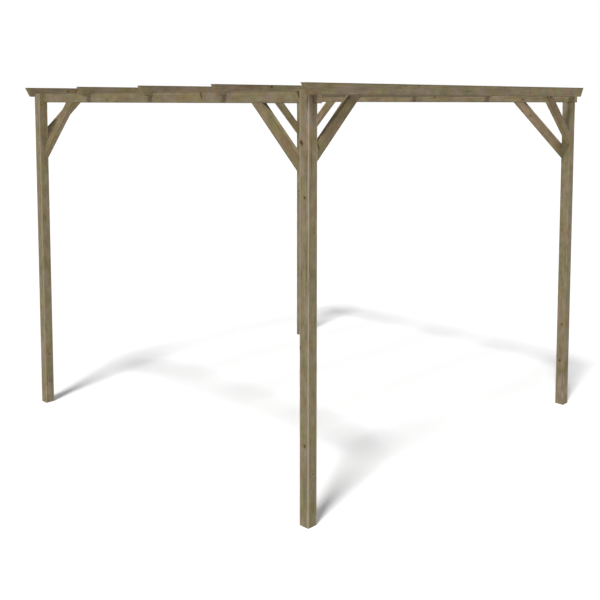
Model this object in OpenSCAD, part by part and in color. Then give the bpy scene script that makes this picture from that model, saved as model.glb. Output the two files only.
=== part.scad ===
// Open timber carport frame: four posts, two side beams, five cross rafters
// and eight knee braces, all in planed softwood.
// Origin on the ground at the middle of the plan. +X runs along the rafters,
// +Y runs along the beams, +Z is up. Sizes are in millimetres.

/* [Plan] */
// Distance between post centres along the rafters (X)
post_spacing_x = 2930; // [1800:10:5400]
// Distance between post centres along the beams (Y)
post_spacing_y = 2975; // [1800:10:5400]

/* [Posts] */
// Side of the square posts
post_side = 70; // [60:1:120]
// Height of the post tops above the ground
post_height = 2500; // [1900:10:3200]

/* [Beams and rafters] */
// Thickness of the boards that make the beams and rafters
board_thickness = 35; // [25:1:50]
// Depth of those boards, from underside to top
board_depth = 70; // [60:1:120]
// How far each rafter is notched down over the beams
rafter_lap = 25; // [10:1:30]
// How far a rafter's top edge runs out beyond the posts
rafter_overhang = 64; // [40:1:300]
// How much shorter a rafter's bottom edge is at each end
rafter_undercut = 40; // [0:1:60]
// Slack left on each side of a board in its notch
notch_clearance = 0.5; // [0:0.1:2]

/* [Knee braces] */
// Thickness of a brace
brace_thickness = 35; // [30:1:60]
// Depth of a brace, square to its length
brace_depth = 68; // [40:1:80]
// Level and upright reach of a brace from its foot to its head
brace_reach = 440; // [300:10:700]

/* [Hidden] */

post_colour = [0.51, 0.47, 0.36];
beam_colour = [0.55, 0.49, 0.40];
rafter_colour = [0.50, 0.46, 0.38];
brace_colour = [0.52, 0.46, 0.36];

// Signs that name the sides of the plan
left = -1;
right = 1;
front = -1;
back = 1;

rafter_count = 5;
// How far a cutting solid runs past the face it cuts
cut_margin = 5;

// Distance from the middle to the outer and inner faces of the posts
post_outer_x = (post_spacing_x + post_side) / 2;
post_outer_y = (post_spacing_y + post_side) / 2;
post_inner_x = post_outer_x - post_side;
post_inner_y = post_outer_y - post_side;

// The beams lie flush with the inner faces of the posts and with their tops.
// They run on past the posts to carry the first and last rafters.
beam_outer_x = post_inner_x + board_thickness;
beam_end_y = post_outer_y + board_thickness;
beam_bottom = post_height - board_depth;

// The rafters are notched over the beams and spaced evenly along them.
rafter_bottom = post_height - rafter_lap;
rafter_top = rafter_bottom + board_depth;
rafter_end_x = post_outer_x + rafter_overhang;
rafter_pitch = (2 * beam_end_y - board_thickness) / (rafter_count - 1);

// Upright height of a brace's face on the post
brace_foot = brace_depth * sqrt(2);

// Puts a piece drawn at the front left corner at another corner of the plan
module at_corner(side_y, side_x) {
    mirror([side_x == right ? 1 : 0, 0, 0])
        mirror([0, side_y == back ? 1 : 0, 0])
            children();
}

// Square post with the inner part of its top cut away for the beam
module post() {
    difference() {
        translate([-post_outer_x, -post_outer_y, 0])
            cube([post_side, post_side, post_height]);
        translate([
            -beam_outer_x - notch_clearance,
            -post_outer_y - cut_margin,
            beam_bottom
        ])
            cube([
                board_thickness + notch_clearance + cut_margin,
                post_side + 2 * cut_margin,
                board_depth + cut_margin
            ]);
    }
}

// Square-ended board on edge, let into the tops of two posts
module beam() {
    translate([-beam_outer_x, -beam_end_y, beam_bottom])
        cube([board_thickness, 2 * beam_end_y, board_depth]);
}

// Board on edge with undercut ends and a notch over each beam.
// The first rafter is the front one.
module rafter(number) {
    outline = [
        [-rafter_end_x, rafter_top],
        [-rafter_end_x + rafter_undercut, rafter_bottom],
        [rafter_end_x - rafter_undercut, rafter_bottom],
        [rafter_end_x, rafter_top]
    ];
    notch_width = board_thickness + 2 * notch_clearance;
    notch_middle_x = beam_outer_x - board_thickness / 2;
    back_face_y = -beam_end_y + board_thickness + (number - 1) * rafter_pitch;
    translate([0, back_face_y, 0])
        rotate([90, 0, 0])
            linear_extrude(height = board_thickness)
                difference() {
                    polygon(outline);
                    for (side = [left, right])
                        translate([
                            side * notch_middle_x - notch_width / 2,
                            rafter_bottom - cut_margin
                        ])
                            square([notch_width, rafter_lap + cut_margin]);
                }
}

// Side view of a brace at 45 degrees: an upright foot against the post and
// a level head
module brace_outline() {
    polygon([
        [0, 0],
        [brace_reach, brace_reach],
        [brace_reach - brace_foot, brace_reach],
        [0, brace_foot]
    ]);
}

// Brace from a post to the underside of its beam
module beam_brace() {
    translate([-beam_outer_x, -post_inner_y, beam_bottom - brace_reach])
        rotate([90, 0, 90])
            linear_extrude(height = brace_thickness)
                brace_outline();
}

// Brace from a post to the inner face of the first or last rafter
module rafter_brace() {
    translate([
        -post_inner_x,
        -post_outer_y + brace_thickness,
        rafter_top - brace_reach
    ])
        rotate([90, 0, 0])
            linear_extrude(height = brace_thickness)
                brace_outline();
}

module post_front_left() { color(post_colour) at_corner(front, left) post(); }
module post_front_right() { color(post_colour) at_corner(front, right) post(); }
module post_back_left() { color(post_colour) at_corner(back, left) post(); }
module post_back_right() { color(post_colour) at_corner(back, right) post(); }

module beam_left() { color(beam_colour) at_corner(front, left) beam(); }
module beam_right() { color(beam_colour) at_corner(front, right) beam(); }

module rafter_1() { color(rafter_colour) rafter(1); }
module rafter_2() { color(rafter_colour) rafter(2); }
module rafter_3() { color(rafter_colour) rafter(3); }
module rafter_4() { color(rafter_colour) rafter(4); }
module rafter_5() { color(rafter_colour) rafter(5); }

module beam_brace_front_left() {
    color(brace_colour) at_corner(front, left) beam_brace();
}
module beam_brace_front_right() {
    color(brace_colour) at_corner(front, right) beam_brace();
}
module beam_brace_back_left() {
    color(brace_colour) at_corner(back, left) beam_brace();
}
module beam_brace_back_right() {
    color(brace_colour) at_corner(back, right) beam_brace();
}

module rafter_brace_front_left() {
    color(brace_colour) at_corner(front, left) rafter_brace();
}
module rafter_brace_front_right() {
    color(brace_colour) at_corner(front, right) rafter_brace();
}
module rafter_brace_back_left() {
    color(brace_colour) at_corner(back, left) rafter_brace();
}
module rafter_brace_back_right() {
    color(brace_colour) at_corner(back, right) rafter_brace();
}

post_front_left();
post_front_right();
post_back_left();
post_back_right();
beam_left();
beam_right();
rafter_1();
rafter_2();
rafter_3();
rafter_4();
rafter_5();
beam_brace_front_left();
beam_brace_front_right();
beam_brace_back_left();
beam_brace_back_right();
rafter_brace_front_left();
rafter_brace_front_right();
rafter_brace_back_left();
rafter_brace_back_right();
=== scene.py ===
"""The looks of an open timber carport frame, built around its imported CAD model."""

import math
import random

import bmesh
import bpy
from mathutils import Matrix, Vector


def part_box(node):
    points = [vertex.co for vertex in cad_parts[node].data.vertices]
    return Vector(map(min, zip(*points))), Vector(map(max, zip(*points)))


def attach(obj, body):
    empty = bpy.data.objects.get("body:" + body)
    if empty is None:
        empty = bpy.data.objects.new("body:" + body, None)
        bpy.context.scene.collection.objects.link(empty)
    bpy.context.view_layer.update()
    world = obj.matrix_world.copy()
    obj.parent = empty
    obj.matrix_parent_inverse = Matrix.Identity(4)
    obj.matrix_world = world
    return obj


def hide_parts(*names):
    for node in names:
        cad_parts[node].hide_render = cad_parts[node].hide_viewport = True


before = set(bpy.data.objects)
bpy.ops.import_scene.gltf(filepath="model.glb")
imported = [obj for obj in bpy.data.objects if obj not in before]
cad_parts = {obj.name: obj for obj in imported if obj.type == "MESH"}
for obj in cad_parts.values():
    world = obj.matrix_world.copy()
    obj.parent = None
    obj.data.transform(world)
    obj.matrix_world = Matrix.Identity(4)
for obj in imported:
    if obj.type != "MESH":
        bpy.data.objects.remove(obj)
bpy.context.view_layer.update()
MM = 0.001


# ---- Posts ------------------------------------------------------------------------------------
# Four posts of planed pine, 70 mm square, stand straight on the ground. The inner half of each top
# is sawn away as a seat for the beam. Planing has rounded the long arrises; saw cuts are crisp.

def linear(hex_colour):
    """Turns an sRGB hex colour into the linear RGBA that a shader's socket takes."""
    channels = [int(hex_colour[i : i + 2], 16) / 255 for i in (1, 3, 5)]
    return [c / 12.92 if c <= 0.04045 else ((c + 0.055) / 1.055) ** 2.4 for c in channels] + [1]


def add(tree, kind, inputs=(), **settings):
    """Adds a node. An input, by its place or name, takes a value, a socket or a node's output."""
    made = tree.nodes.new(kind)
    for setting, value in settings.items():
        setattr(made, setting, value)
    sockets = [socket for socket in made.inputs if socket.enabled]
    pairs = inputs.items() if isinstance(inputs, dict) else enumerate(inputs)
    for place, value in pairs:
        if isinstance(place, str):
            target = next(socket for socket in sockets if socket.name == place)
        else:
            target = sockets[place]
        if isinstance(value, bpy.types.Node):
            value = next(output for output in value.outputs if output.enabled)
        if isinstance(value, bpy.types.NodeSocket):
            tree.links.new(value, target)
        else:
            target.default_value = value
    return made


# A branch is a thin cone that starts at the pith and rises as it grows outwards.
BRANCH_AT_PITH = 1.5 * MM
THINNEST_BRANCH = 0.4 * MM
BRANCH_TAPERS = (0.06, 0.14)  # how much thicker it gets in each metre outwards, least and most
BRANCH_RISE = 0.3  # how far it climbs in each metre outwards
KNOT_SQUASH = 0.75  # under 1, because a flat face cuts a rising branch to an upright oval
WHORL_SCATTER = 0.75  # how unevenly the whorls are spaced, from 0 to 1


def branch_distance(tree, split, whorl_gap, first_whorl):
    """How far a point is from the nearest branch of a set of whorls: 1 is the knot's own edge."""
    along = add(
        tree,
        "ShaderNodeMath",
        [split.outputs["Z"], 1 / whorl_gap, first_whorl],
        operation="MULTIPLY_ADD",
    )
    whorl = add(
        tree,
        "ShaderNodeTexVoronoi",
        {"W": along, "Scale": 1.0, "Randomness": WHORL_SCATTER},
        voronoi_dimensions="1D",
    )
    chance = add(tree, "ShaderNodeSeparateColor", [whorl.outputs["Color"]])
    rise = add(tree, "ShaderNodeMath", [along, whorl.outputs["W"]], operation="SUBTRACT")
    rise = add(tree, "ShaderNodeMath", [rise, whorl_gap], operation="MULTIPLY")
    turn = add(tree, "ShaderNodeMath", [chance.outputs["Red"], 2 * math.pi], operation="MULTIPLY")
    east = add(tree, "ShaderNodeMath", [turn], operation="COSINE")
    north = add(tree, "ShaderNodeMath", [turn], operation="SINE")
    outward = add(tree, "ShaderNodeMath", [split.outputs["X"], east], operation="MULTIPLY")
    outward = add(
        tree, "ShaderNodeMath", [split.outputs["Y"], north, outward], operation="MULTIPLY_ADD"
    )
    sideways = add(tree, "ShaderNodeMath", [split.outputs["Y"], east], operation="MULTIPLY")
    crossing = add(tree, "ShaderNodeMath", [split.outputs["X"], north], operation="MULTIPLY")
    sideways = add(tree, "ShaderNodeMath", [sideways, crossing], operation="SUBTRACT")
    taper = add(tree, "ShaderNodeMapRange", [chance.outputs["Green"], 0.0, 1.0, *BRANCH_TAPERS])
    thickness = add(
        tree, "ShaderNodeMath", [outward, taper, BRANCH_AT_PITH], operation="MULTIPLY_ADD"
    )
    thickness = add(tree, "ShaderNodeMath", [thickness, THINNEST_BRANCH], operation="MAXIMUM")
    rise = add(tree, "ShaderNodeMath", [outward, -BRANCH_RISE, rise], operation="MULTIPLY_ADD")
    rise = add(tree, "ShaderNodeMath", [rise, KNOT_SQUASH], operation="MULTIPLY")
    offset = add(tree, "ShaderNodeCombineXYZ", [sideways, rise, 0.0])
    distance = add(tree, "ShaderNodeVectorMath", [offset], operation="LENGTH")
    return add(tree, "ShaderNodeMath", [distance, thickness], operation="DIVIDE")


HONEY = "#90764A"
LATEWOOD = "#67593F"
KNOT_BROWN = "#54401F"
KNOT_RIM = "#3A2B16"
KNOT_HALO = "#7D623A"
CHECK_DARK = "#3A3022"
NOISE_SPAN = (0.3, 0.7)  # nearly all of a noise's values lie between these
# The painted light along the arrises, a highlight or a shade, fades in across this band.
PAINTED_ARRIS_BAND = (0.74, 0.96)  # where the arris tone starts and is full, from 0 at the section's middle
RAGGED_SCALE = 260.0  # a knot's edge is ragged at about 4 mm
RING_WIDTH = 5 * MM
RING_WANDER = 22 * MM  # how far the rings stray from true circles
TRUNK_TAPER = 0.007  # how much thinner the trunk gets in each metre upwards
RING_BULGE = 7 * MM  # how far the rings are pushed aside by a knot
RAGGED_EDGE = 0.22  # how ragged a knot's edge is, as a share of its radius


# arris is the colour painted along the arrises: a pale painted highlight or a dark painted shade.
def treated_pine(name, olive, tan, arris, ring_strength=0.4, bump_depth=0.35 * MM, roughness=0.78):
    """Pine, pressure-treated with a copper salt, as it comes from the planer or the saw.

    The eye gets a dull surface between olive and tan, in long soft patches, with darker latewood
    lines that run round the knots, small dark knots, fine fibres and a few hairline drying checks.
    """
    material = bpy.data.materials.new(name)
    material.use_nodes = True
    tree = material.node_tree
    tree.nodes.clear()

    # log_place is where a point was in the log: X and Y from the pith, Z up the trunk, in metres.
    place = add(tree, "ShaderNodeAttribute", attribute_name="log_place").outputs["Vector"]
    split = add(tree, "ShaderNodeSeparateXYZ", [place])
    flat_place = add(tree, "ShaderNodeVectorMath", [place, (1, 1, 0)], operation="MULTIPLY")
    from_pith = add(tree, "ShaderNodeVectorMath", [flat_place], operation="LENGTH")

    # Noises stretched along the trunk: how wide and how long their features are, in millimetres.
    # Fibres are 0.1 mm wide in the tree: they are drawn ten times coarser, so that they show.
    noises = {}
    for use, wide, tall, detail in (
        ("wander", 140, 770, 2.0),
        ("fibre", 1.1, 60, 2.0),
        ("fleck", 9, 22, 2.0),
        ("streak", 10, 330, 3.0),
        ("cloud", 45, 80, 2.0),
        ("patch", 95, 150, 1.0),
        ("honey", 55, 95, 1.0),
        ("check", 14, 900, 1.0),
        ("dryness", 50, 380, 0.0),
    ):
        stretch = (1 / (wide * MM), 1 / (wide * MM), 1 / (tall * MM))
        stretched = add(tree, "ShaderNodeVectorMath", [place, stretch], operation="MULTIPLY")
        noises[use] = add(
            tree, "ShaderNodeTexNoise", {"Vector": stretched, "Scale": 1.0, "Detail": detail}
        )

    # Knots: two sets of branches, in whorls 0.29 and 0.41 m apart, with ragged edges.
    whorls = ((0.29, 0.0), (0.41, 7.3))
    branches = [branch_distance(tree, split, gap, first) for gap, first in whorls]
    knot = add(tree, "ShaderNodeMath", branches, operation="MINIMUM")
    ragged = add(
        tree, "ShaderNodeTexNoise", {"Vector": place, "Scale": RAGGED_SCALE, "Detail": 1.0}
    )
    ragged = add(tree, "ShaderNodeMapRange", [ragged, *NOISE_SPAN, -RAGGED_EDGE, RAGGED_EDGE])
    knot = add(tree, "ShaderNodeMath", [knot, ragged], operation="ADD")
    knot_wood = add(tree, "ShaderNodeMapRange", [knot, 0.75, 1.05, 1.0, 0.0])
    knot_rim = add(tree, "ShaderNodeMapRange", [knot, 0.55, 1.0, 0.0, 1.0])
    knot_halo = add(
        tree, "ShaderNodeMapRange", [knot, 0.9, 3.0, 1.0, 0.0], interpolation_type="SMOOTHSTEP"
    )

    # Growth rings: the trunk tapers and wanders, and its rings pass round the knots.
    ring_place = from_pith
    for source, amount in (
        (noises["wander"], RING_WANDER),
        (split.outputs["Z"], TRUNK_TAPER),
        (knot_halo, RING_BULGE),
    ):
        ring_place = add(
            tree, "ShaderNodeMath", [source, amount, ring_place], operation="MULTIPLY_ADD"
        )
    ring_count = add(tree, "ShaderNodeMath", [ring_place, RING_WIDTH], operation="DIVIDE")
    ring_year = add(tree, "ShaderNodeMath", [ring_count], operation="FRACT")
    latewood = add(tree, "ShaderNodeFloatCurve", {"Value": ring_year})
    profile = latewood.mapping.curves[0]
    profile.points.new(0.5, 0.12)
    profile.points.new(0.86, 1.0)
    profile.points[0].location = (0.0, 0.25)
    profile.points[-1].location = (1.0, 0.25)
    latewood.mapping.update()

    # Checks: hairline cracks along the fibres, where a stretched noise passes through its middle.
    check = add(tree, "ShaderNodeMath", [noises["check"], 0.5], operation="SUBTRACT")
    check = add(tree, "ShaderNodeMath", [check], operation="ABSOLUTE")
    check = add(tree, "ShaderNodeMapRange", [check, 0.003, 0.009, 1.0, 0.0])
    dry = add(tree, "ShaderNodeMapRange", [noises["dryness"], 0.60, 0.68, 0.0, 1.0])
    check = add(tree, "ShaderNodeMath", [check, dry], operation="MULTIPLY")

    # The ground tone: olive and tan patches, some of them honey brown, all lighter or darker.
    patchy = add(tree, "ShaderNodeMapRange", [noises["patch"], 0.36, 0.64, 0.0, 1.0])
    colour = add(tree, "ShaderNodeMix", [patchy, linear(olive), linear(tan)], data_type="RGBA")
    honey = add(tree, "ShaderNodeMapRange", [noises["honey"], 0.48, 0.70, 0.0, 0.6])
    colour = add(tree, "ShaderNodeMix", [honey, colour, linear(HONEY)], data_type="RGBA")
    ring_amount = add(tree, "ShaderNodeMath", [latewood, ring_strength], operation="MULTIPLY")
    colour = add(tree, "ShaderNodeMix", [ring_amount, colour, linear(LATEWOOD)], data_type="RGBA")
    for use, darkest, lightest in (
        ("streak", 0.90, 1.09),
        ("cloud", 0.83, 1.17),
        ("fleck", 0.89, 1.11),
        ("fibre", 0.93, 1.07),
    ):
        shade = add(tree, "ShaderNodeMapRange", [noises[use], *NOISE_SPAN, darkest, lightest])
        colour = add(tree, "ShaderNodeVectorMath", [colour, shade], operation="SCALE")

    # Then the painted light along the arrises, a highlight or a shade as the given arris colour is pale
    # or dark, which spreads a little way onto the faces beside them, the knots with the warm wood
    # around them, and the checks.
    section = add(tree, "ShaderNodeAttribute", attribute_name="section_place").outputs["Vector"]
    section = add(tree, "ShaderNodeVectorMath", [section], operation="ABSOLUTE")
    section = add(tree, "ShaderNodeSeparateXYZ", [section]).outputs
    arris_painted_light = add(tree, "ShaderNodeMath", [section["X"], section["Y"]], operation="MINIMUM")
    arris_painted_light = add(
        tree,
        "ShaderNodeMapRange",
        [arris_painted_light, *PAINTED_ARRIS_BAND, 0.0, section["Z"]],
        interpolation_type="SMOOTHSTEP",
    )
    knot_colour = add(
        tree, "ShaderNodeMix", [knot_rim, linear(KNOT_BROWN), linear(KNOT_RIM)], data_type="RGBA"
    )
    for amount, share, over in (
        (arris_painted_light, 1.0, linear(arris)),
        (knot_halo, 0.45, linear(KNOT_HALO)),
        (knot_wood, 1.0, knot_colour),
        (check, 0.8, linear(CHECK_DARK)),
    ):
        amount = add(tree, "ShaderNodeMath", [amount, share], operation="MULTIPLY")
        colour = add(tree, "ShaderNodeMix", [amount, colour, over], data_type="RGBA")

    # Relief: proud latewood, fine fibres, sunken checks and knots planed almost flush.
    relief = add(tree, "ShaderNodeMath", [latewood, 0.35], operation="MULTIPLY")
    for source, amount in ((noises["fibre"], 0.5), (check, -1.6), (knot_wood, 0.25)):
        relief = add(tree, "ShaderNodeMath", [source, amount, relief], operation="MULTIPLY_ADD")
    bump = add(tree, "ShaderNodeBump", {"Strength": 0.6, "Distance": bump_depth, "Height": relief})
    gloss = add(
        tree, "ShaderNodeMapRange", [latewood, 0.0, 1.0, roughness + 0.06, roughness - 0.10]
    )
    looks = {
        "Base Color": colour,
        "Roughness": gloss,
        "IOR": 1.5,
        "Specular IOR Level": 0.35,
        "Normal": bump,
    }
    shader = add(tree, "ShaderNodeBsdfPrincipled", looks)
    add(tree, "ShaderNodeOutputMaterial", {"Surface": shader})
    return material


def shown(name, mesh):
    """Puts a mesh in the scene as an object."""
    made = bpy.data.objects.new(name, mesh)
    bpy.context.scene.collection.objects.link(made)
    return made


POST_ARRIS = 1.5 * MM
ARRIS_STEPS = 4
CRISP_EDGE = 0.7 * MM
HEAD_WIDTH = 10 * MM
HEAD_SIDES = 28
SINK_DEPTH = 1.2 * MM
LOG_LENGTH = 60  # metres of trunk, end to end, that the timbers are taken from
SAME_PLACE = 0.02 * MM
ON_THE_CORNER = 0.1 * MM
FLAT_TURN = math.radians(1)  # faces that turn less than this are one face
SHARP_TURN = math.radians(32)  # edges that turn more than this stay crisp
CUT_TURN = math.radians(35)  # edges that turn more than this are saw cuts
screw_places = []


def planed_timber(node, grain, faces, arris, pith_reach, screws=(), painted_arris_share=0.6):
    """Makes a CAD timber's real surface: rounded planed arrises, crisp saw cuts and its own grain.

    faces are the materials of the planed sides and of the sawn ends, pith_reach is how far the log's
    pith may lie from the middle of the section, screws are the (place, facing) of sunk heads, and
    painted_arris_share is how strongly the arrises take their painted highlight or shade.
    """
    along = Vector(grain).normalized()
    level = Vector((1, 0, 0)) if abs(along.x) < 0.01 else Vector((0, 1, 0))
    upward = along.cross(level)
    body = bmesh.new()
    body.from_mesh(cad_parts[node].data)
    bmesh.ops.remove_doubles(body, verts=body.verts, dist=SAME_PLACE)
    bmesh.ops.dissolve_limit(body, angle_limit=FLAT_TURN, verts=body.verts, edges=body.edges)
    bmesh.ops.recalc_face_normals(body, faces=body.faces)

    # The section's middle and its half sizes, found from the timber's own corners.
    spans = []
    for axis in (level, upward, along):
        reach = [vertex.co.dot(axis) for vertex in body.verts]
        spans.append((min(reach), max(reach)))
    middle = [(low + high) / 2 for low, high in spans]
    half = [(high - low) / 2 for low, high in spans]

    def is_arris(edge):
        """True for an edge along the grain on the planed section's own corner."""
        if abs((edge.verts[1].co - edge.verts[0].co).normalized().dot(along)) < 0.999:
            return False
        centre = (edge.verts[0].co + edge.verts[1].co) / 2
        offsets = [abs(centre.dot(level) - middle[0]), abs(centre.dot(upward) - middle[1])]
        return all(abs(offset - half[i]) < ON_THE_CORNER for i, offset in enumerate(offsets))

    rounded = [edge for edge in body.edges if is_arris(edge)]
    bmesh.ops.bevel(
        body, geom=rounded, offset=arris, segments=ARRIS_STEPS, profile=0.5, affect="EDGES"
    )
    cuts = [e for e in body.edges if e.is_convex and e.calc_face_angle(0) > CUT_TURN]
    bmesh.ops.bevel(body, geom=cuts, offset=CRISP_EDGE, segments=1, profile=0.5, affect="EDGES")

    mesh = bpy.data.meshes.new(node + "_rough")
    for face in body.faces:
        face.smooth = True
        face.material_index = int(abs(face.normal.dot(along)) > 0.5)
    body.to_mesh(mesh)
    body.free()
    rough = shown(node + "_rough", mesh)

    # The countersinks: a shallow cone for each screw head, bored into the face that it enters.
    sinks = bmesh.new()
    for place, facing in screws:
        turned = Vector(facing).to_track_quat("Z", "Y").to_matrix().to_4x4()
        turned.translation = Vector(place)
        bmesh.ops.create_cone(
            sinks,
            cap_ends=True,
            segments=HEAD_SIDES,
            radius1=HEAD_WIDTH / 2 - SINK_DEPTH,
            radius2=HEAD_WIDTH / 2 + SINK_DEPTH,
            depth=2 * SINK_DEPTH,
            matrix=turned,
        )
    sink_mesh = bpy.data.meshes.new(node + "_sinks")
    for face in sinks.faces:
        face.material_index = 1
    sinks.to_mesh(sink_mesh)
    sinks.free()
    for material in faces:
        mesh.materials.append(material)
        sink_mesh.materials.append(material)
    cutter = shown(node + "_sinks", sink_mesh)
    if screws:
        boring = rough.modifiers.new("countersinks", "BOOLEAN")
        boring.object = cutter
        boring.operation = "DIFFERENCE"
        boring.solver = "EXACT"
    rough.modifiers.new("flat faces", "WEIGHTED_NORMAL").keep_sharp = True
    mesh.set_sharp_from_angle(angle=SHARP_TURN)
    evaluated = rough.evaluated_get(bpy.context.evaluated_depsgraph_get())
    finished = bpy.data.meshes.new_from_object(evaluated)
    bpy.data.objects.remove(rough)
    bpy.data.objects.remove(cutter)

    # Each timber comes from its own part of a log, so no two have the same grain.
    chance = random.Random(node)
    turn = chance.uniform(0, 2 * math.pi)
    reach = chance.uniform(0.4, 1.0) * pith_reach
    run = chance.uniform(0, LOG_LENGTH)
    # section_place is -1 to 1 from one planed side to the other, both ways, so an arris is at 1, 1.
    # Its third number is how strongly this timber's arrises take their painted highlight or shade.
    log_places = []
    section_places = []
    for vertex in finished.vertices:
        across = vertex.co.dot(level) - middle[0]
        up = vertex.co.dot(upward) - middle[1]
        log_places += [across + reach * math.cos(turn), up + reach * math.sin(turn)]
        log_places.append(vertex.co.dot(along) - middle[2] + run)
        section_places += [across / half[0], up / half[1], painted_arris_share]
    for label, values in (("log_place", log_places), ("section_place", section_places)):
        attribute = finished.attributes.new(label, "FLOAT_VECTOR", "POINT")
        attribute.data.foreach_set("vector", values)

    timber = shown(node + "_timber", finished)
    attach(timber, "root")
    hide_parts(node)
    screw_places.extend(screws)


# Planed sides: olive where the salt took well, tan where it took less, and arrises paled by a
# painted highlight, partly also by handling wear.
planed_post = treated_pine("planed_treated_pine_post", "#8D8662", "#998974", "#C0B497")
# Sawn ends: paler, rougher and duller, with the rings standing out, and a painted shade along
# their edges.
sawn_end = treated_pine(
    "sawn_treated_pine_end",
    "#A29565",
    "#A28C6E",
    "#857A54",
    ring_strength=0.7,
    bump_depth=0.6 * MM,
    roughness=0.88,
)
post_faces = [planed_post, sawn_end]
# The arrises' painted highlight, partly handling wear, is strong on some posts and faint on others.
for end, side, painted_arris_share in (
    ("front", "left", 0.7),
    ("front", "right", 0.1),
    ("back", "left", 0.45),
    ("back", "right", 0.5),
):
    planed_timber(
        f"post_{end}_{side}",
        (0, 0, 1),
        post_faces,
        POST_ARRIS,
        pith_reach=45 * MM,
        painted_arris_share=painted_arris_share,
    )


# ---- Beams ------------------------------------------------------------------------------------
# Two boards on edge, 35 by 70 mm, run from front to back. Each lies in the notches of its two
# posts, flush with their inner faces, and its square-sawn ends stand a little past them.

BOARD_ARRIS = 2 * MM
# The boards' arrises take a painted shade: a dark line along their long edges.
BOARD_ARRIS_PAINTED_SHADE = "#59513A"
BOARD_PITH_REACH = 55 * MM
BEAM_SCREW_ASIDE = 17 * MM
BEAM_SCREW_UP = 16 * MM

planed_beam = treated_pine("planed_treated_pine_beam", "#89815D", "#94836F", BOARD_ARRIS_PAINTED_SHADE)
beam_faces = [planed_beam, sawn_end]
for side, inward in (("left", 1), ("right", -1)):
    low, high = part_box(f"beam_{side}")
    screws = []
    for end in ("front", "back"):
        post_low, post_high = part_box(f"post_{end}_{side}")
        for step in (-1, 1):
            across = (post_low.y + post_high.y) / 2 + step * BEAM_SCREW_ASIDE
            height = (low.z + high.z) / 2 + step * BEAM_SCREW_UP
            inner_face = high.x if inward > 0 else low.x
            screws.append(((inner_face, across, height), (inward, 0, 0)))
    planed_timber(
        f"beam_{side}",
        (0, 1, 0),
        beam_faces,
        BOARD_ARRIS,
        BOARD_PITH_REACH,
        screws,
    )


# ---- Rafters ----------------------------------------------------------------------------------
# Five boards on edge, 35 by 70 mm, cross the two beams. Each is notched over the beams by 25 mm,
# and its ends are sawn back to a slant, so that the lower edge is shorter than the upper one.

planed_rafter = treated_pine("planed_treated_pine_rafter", "#8A825F", "#93826E", BOARD_ARRIS_PAINTED_SHADE)
rafter_faces = [planed_rafter, sawn_end]
for number in range(1, 6):
    low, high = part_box(f"rafter_{number}")
    screws = []
    for side in ("left", "right"):
        beam_low, beam_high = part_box(f"beam_{side}")
        place = ((beam_low.x + beam_high.x) / 2, (low.y + high.y) / 2, high.z)
        screws.append((place, (0, 0, 1)))
    planed_timber(
        f"rafter_{number}",
        (1, 0, 0),
        rafter_faces,
        BOARD_ARRIS,
        BOARD_PITH_REACH,
        screws,
    )


# ---- Corner braces ----------------------------------------------------------------------------
# Eight short boards, 35 by 68 mm, stiffen the corners at 45 degrees: four from post to beam, and
# four from post to the outer rafters, whose level heads lie against the rafters' inner faces.

planed_brace = treated_pine("planed_treated_pine_brace", "#898058", "#97826A", BOARD_ARRIS_PAINTED_SHADE)
brace_faces = [planed_brace, sawn_end]
BRACE_PITH_REACH = 50 * MM
BRACE_SPAN = 96 * MM  # how much of the post or rafter a brace's slanting end covers
TOE_SHARE = 0.13  # how far along the lower edge its toe screws are, from either tip
FACE_SCREWS = ((20 * MM, 14 * MM), (48 * MM, -6 * MM))  # below the head's top, and past its middle


def toe_screw(low_tip, high_tip, share):
    """A screw driven square into a brace's lower edge, at a share of the way from its foot."""
    edge = high_tip - low_tip
    facing = Vector((edge.x, edge.y, -math.hypot(edge.x, edge.y))).normalized()
    return tuple(low_tip + share * edge), tuple(facing)


for end, forward in (("front", 1), ("back", -1)):
    for side, inward in (("left", 1), ("right", -1)):
        node = f"beam_brace_{end}_{side}"
        low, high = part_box(node)
        near, far = (low.y, high.y) if forward > 0 else (high.y, low.y)
        centre = (low.x + high.x) / 2
        tips = Vector((centre, near, low.z)), Vector((centre, far, high.z))
        screws = [toe_screw(*tips, TOE_SHARE), toe_screw(*tips, 1 - TOE_SHARE)]
        grain = (0, forward, 1)
        planed_timber(
            node, grain, brace_faces, BOARD_ARRIS, BRACE_PITH_REACH, screws
        )

        node = f"rafter_brace_{end}_{side}"
        low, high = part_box(node)
        near, far = (low.x, high.x) if inward > 0 else (high.x, low.x)
        centre = (low.y + high.y) / 2
        tips = Vector((near, centre, low.z)), Vector((far, centre, high.z))
        screws = [toe_screw(*tips, TOE_SHARE)]
        for drop, shift in FACE_SCREWS:
            from_head = drop + BRACE_SPAN / 2 + shift
            inner_face = high.y if forward > 0 else low.y
            place = (far - inward * from_head, inner_face, high.z - drop)
            screws.append((place, (0, forward, 0)))
        grain = (inward, 0, 1)
        planed_timber(
            node, grain, brace_faces, BOARD_ARRIS, BRACE_PITH_REACH, screws
        )


# ---- Screws -----------------------------------------------------------------------------------
# Countersunk timber screws with a star recess and a dull olive coating hold every joint. Their
# heads sit just below the faces, in places where rain and the eye reach them least. Each head is
# one closed solid: its flat top, the recess sunk in it, and the 90 degree cone beneath.

HEAD_DROP = 0.5 * MM
RECESS_WIDTH = 5 * MM
RECESS_DEPTH = 2 * MM
STAR_POINTS = 6
STAR_WAIST = 0.72  # the star's inner radius as a share of its outer one
TURN_SEED = 4
SAME_POINT = 0.01 * MM
COAT_DARK = "#565440"
COAT_PALE = "#787257"
COAT_MOTTLE = 900.0  # patches about 1 mm across

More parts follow.
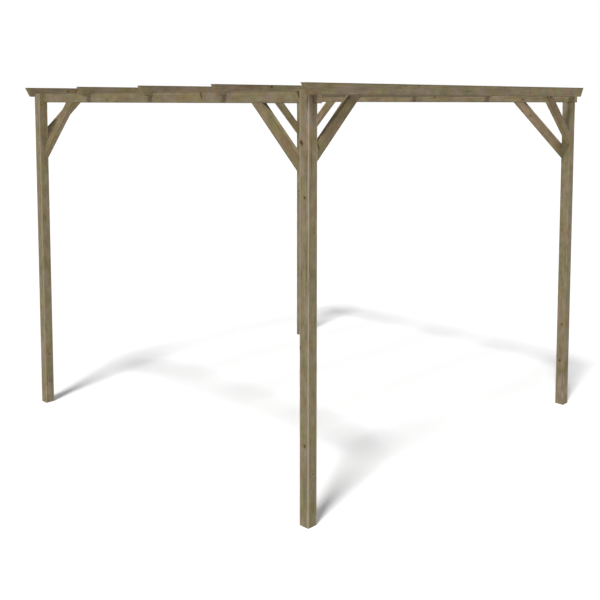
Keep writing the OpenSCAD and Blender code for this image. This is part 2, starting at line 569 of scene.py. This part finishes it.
# A thin organic coat on steel: dull, a little patchy, and darker than the timber around it.
coated = bpy.data.materials.new("olive_coated_steel")
coated.use_nodes = True
tree = coated.node_tree
tree.nodes.clear()
place = add(tree, "ShaderNodeTexCoord").outputs["Object"]
mottle = add(tree, "ShaderNodeTexNoise", {"Vector": place, "Scale": COAT_MOTTLE, "Detail": 2.0})
tone = add(tree, "ShaderNodeMix", [mottle, linear(COAT_DARK), linear(COAT_PALE)], data_type="RGBA")
dull = add(tree, "ShaderNodeMapRange", [mottle, *NOISE_SPAN, 0.42, 0.6])
coat = add(tree, "ShaderNodeBsdfPrincipled", {"Base Color": tone, "Roughness": dull, "Metallic": 0.5})
add(tree, "ShaderNodeOutputMaterial", {"Surface": coat})

heads = bpy.data.node_groups.new("countersunk_screw_heads", "GeometryNodeTree")
heads.is_modifier = True
for label, kind in (
    ("Places", "NodeSocketGeometry"),
    ("Head Width", "NodeSocketFloat"),
    ("Recess Width", "NodeSocketFloat"),
    ("Recess Depth", "NodeSocketFloat"),
    ("Head Drop", "NodeSocketFloat"),
    ("Seed", "NodeSocketInt"),
    ("Coating", "NodeSocketMaterial"),
):
    heads.interface.new_socket(label, in_out="INPUT", socket_type=kind)
heads.interface.new_socket("Heads", in_out="OUTPUT", socket_type="NodeSocketGeometry")
given = add(heads, "NodeGroupInput").outputs
head_radius = add(heads, "ShaderNodeMath", [given["Head Width"], 0.5], operation="MULTIPLY")
star_outer = add(heads, "ShaderNodeMath", [given["Recess Width"], 0.5], operation="MULTIPLY")
star_inner = add(heads, "ShaderNodeMath", [star_outer, STAR_WAIST], operation="MULTIPLY")
rim = add(
    heads, "GeometryNodeCurvePrimitiveCircle", {"Resolution": HEAD_SIDES, "Radius": head_radius}
)
star = add(
    heads,
    "GeometryNodeCurveStar",
    {"Points": STAR_POINTS, "Inner Radius": star_inner, "Outer Radius": star_outer},
)
outlines = add(heads, "GeometryNodeJoinGeometry")
for outline in (rim, star):
    heads.links.new(outline.outputs[0], outlines.inputs[0])
top = add(heads, "GeometryNodeFillCurve", {"Curve": outlines})
floor_of_star = add(heads, "GeometryNodeFillCurve", {"Curve": star})
downward = add(heads, "ShaderNodeMath", [given["Recess Depth"], -1.0], operation="MULTIPLY")
recess = add(
    heads,
    "GeometryNodeExtrudeMesh",
    {"Mesh": floor_of_star, "Offset Scale": downward, "Individual": False},
)
cone = add(
    heads,
    "GeometryNodeMeshCone",
    {
        "Vertices": HEAD_SIDES,
        "Side Segments": 1,
        "Radius Top": head_radius,
        "Radius Bottom": 0.0,
        "Depth": head_radius,
    },
    fill_type="NONE",
)
cone_drop = add(heads, "ShaderNodeMath", [head_radius, -1.0], operation="MULTIPLY")
cone_drop = add(heads, "ShaderNodeCombineXYZ", {"Z": cone_drop})
cone = add(heads, "GeometryNodeTransform", {"Geometry": cone, "Translation": cone_drop})
head = add(heads, "GeometryNodeJoinGeometry")
for part in (top, recess, cone):
    heads.links.new(part.outputs[0], head.inputs[0])
head = add(heads, "GeometryNodeMergeByDistance", {"Geometry": head, "Distance": SAME_POINT})
drop = add(heads, "ShaderNodeMath", [given["Head Drop"], -1.0], operation="MULTIPLY")
drop = add(heads, "ShaderNodeCombineXYZ", {"Z": drop})
head = add(heads, "GeometryNodeTransform", {"Geometry": head, "Translation": drop})
facing = add(heads, "GeometryNodeInputNamedAttribute", {"Name": "facing"}, data_type="FLOAT_VECTOR")
turned = add(heads, "FunctionNodeAlignRotationToVector", {"Vector": facing}, axis="Z")
spin = add(
    heads,
    "FunctionNodeRandomValue",
    {"Min": 0.0, "Max": 2 * math.pi / STAR_POINTS, "Seed": given["Seed"]},
    data_type="FLOAT",
)
spin = add(heads, "ShaderNodeCombineXYZ", {"Z": spin})
turned = add(
    heads,
    "FunctionNodeRotateRotation",
    {"Rotation": turned, "Rotate By": spin},
    rotation_space="LOCAL",
)
placed = add(
    heads,
    "GeometryNodeInstanceOnPoints",
    {"Points": given["Places"], "Instance": head, "Rotation": turned},
)
real = add(heads, "GeometryNodeRealizeInstances", {"Geometry": placed})
coat_all = add(heads, "GeometryNodeSetMaterial", {"Geometry": real, "Material": given["Coating"]})
add(heads, "NodeGroupOutput", {"Heads": coat_all})

points = bpy.data.meshes.new("screw_places")
points.from_pydata([place for place, _ in screw_places], [], [])
directions = [number for _, facing in screw_places for number in facing]
points.attributes.new("facing", "FLOAT_VECTOR", "POINT").data.foreach_set("vector", directions)
carrier = shown("screw_places", points)
maker = carrier.modifiers.new("screw heads", "NODES")
maker.node_group = heads
values = {
    "Head Width": HEAD_WIDTH,
    "Recess Width": RECESS_WIDTH,
    "Recess Depth": RECESS_DEPTH,
    "Head Drop": HEAD_DROP,
    "Seed": TURN_SEED,
    "Coating": coated,
}
for item in heads.interface.items_tree:
    if item.in_out == "INPUT" and item.name in values:
        maker[item.identifier] = values[item.name]
evaluated = carrier.evaluated_get(bpy.context.evaluated_depsgraph_get())
head_mesh = bpy.data.meshes.new_from_object(evaluated)
bpy.data.objects.remove(carrier)
screw_heads = shown("screw_heads", head_mesh)
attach(screw_heads, "root")


# ---- Studio -----------------------------------------------------------------------------------
# A white floor that runs to the horizon, a white surround, and a high lamp from the front left that
# throws the soft shadows. A weak, very wide lamp from the front lifts the faces that it misses. The
# camera stands outside the front left corner, level with the beams and tilted a little downwards.

FLOOR_WIDTH = 400.0
FLOOR_BOUNCE = (0.86, 0.86, 0.86, 1)
WHITE = (1, 1, 1, 1)
KEY_TRAVEL = (0.430, 0.181, -0.884)
KEY_STRENGTH = 2.75
KEY_SPREAD = 9.8
SIDE_TRAVEL = (0.12, 0.70, -0.70)
SIDE_STRENGTH = 0.42
SIDE_SPREAD = 60.0
FLOOR_LIFT = 0.16
FILL_STRENGTH = 0.06
CAMERA_LENS = 52.90
CAMERA_SHIFT = (0.0048, -0.21)
CAMERA_PLACE = (-4.970, -4.927, 2.447)
CAMERA_DIP = 4.78
CAMERA_HEADING = -44.80
CAMERA_REACH = 1000.0


def seen_directly(tree):
    """1 for what the camera sees itself or in a gloss or through a clear thing, and 0 for bounces."""
    path = add(tree, "ShaderNodeLightPath")
    seen = add(
        tree,
        "ShaderNodeMath",
        [path.outputs["Is Camera Ray"], path.outputs["Is Glossy Ray"]],
        operation="MAXIMUM",
    )
    return add(tree, "ShaderNodeMath", [seen, path.outputs["Is Transmission Ray"]], operation="MAXIMUM")


floor_material = bpy.data.materials.new("matt_white_studio_floor")
floor_material.use_nodes = True
floor_tree = floor_material.node_tree
floor_tree.nodes.clear()
seen = seen_directly(floor_tree)
paint = add(floor_tree, "ShaderNodeMix", [seen, FLOOR_BOUNCE, WHITE], data_type="RGBA")
matt = add(floor_tree, "ShaderNodeBsdfDiffuse", {"Color": paint})
lift = add(floor_tree, "ShaderNodeMath", [seen, FLOOR_LIFT], operation="MULTIPLY")
glow = add(floor_tree, "ShaderNodeEmission", {"Strength": lift})
both = add(floor_tree, "ShaderNodeAddShader", [matt, glow])
add(floor_tree, "ShaderNodeOutputMaterial", {"Surface": both})

floor_mesh = bpy.data.meshes.new("studio_floor")
far = FLOOR_WIDTH / 2
corners = [(-far, -far, 0), (far, -far, 0), (far, far, 0), (-far, far, 0)]
floor_mesh.from_pydata(corners, [], [(0, 1, 2, 3)])
floor_mesh.materials.append(floor_material)
floor = shown("studio_floor", floor_mesh)

world = bpy.data.worlds.new("white_surround")
world.use_nodes = True
bpy.context.scene.world = world
sky_tree = world.node_tree
sky_tree.nodes.clear()
fill = add(sky_tree, "ShaderNodeBackground", {"Color": WHITE, "Strength": FILL_STRENGTH})
backdrop = add(sky_tree, "ShaderNodeBackground", {"Color": WHITE, "Strength": 1.0})
surround = add(sky_tree, "ShaderNodeMixShader", [seen_directly(sky_tree), fill, backdrop])
add(sky_tree, "ShaderNodeOutputWorld", {"Surface": surround})

for label, travel, strength, spread in (
    ("key_lamp", KEY_TRAVEL, KEY_STRENGTH, KEY_SPREAD),
    ("side_lamp", SIDE_TRAVEL, SIDE_STRENGTH, SIDE_SPREAD),
):
    light = bpy.data.lights.new(label, "SUN")
    light.energy = strength
    light.angle = math.radians(spread)
    lamp = bpy.data.objects.new(label, light)
    lamp.rotation_euler = Vector(travel).to_track_quat("-Z", "Y").to_euler()
    bpy.context.scene.collection.objects.link(lamp)

camera = bpy.data.cameras.new("corner_camera")
camera.sensor_width = 36.0
camera.lens = CAMERA_LENS
camera.shift_x, camera.shift_y = CAMERA_SHIFT
camera.clip_end = CAMERA_REACH
camera_stand = bpy.data.objects.new("corner_camera", camera)
camera_stand.location = CAMERA_PLACE
camera_stand.rotation_euler = (math.radians(90 - CAMERA_DIP), 0, math.radians(CAMERA_HEADING))
bpy.context.scene.collection.objects.link(camera_stand)
bpy.context.scene.camera = camera_stand

bpy.context.scene.view_settings.view_transform = "Standard"
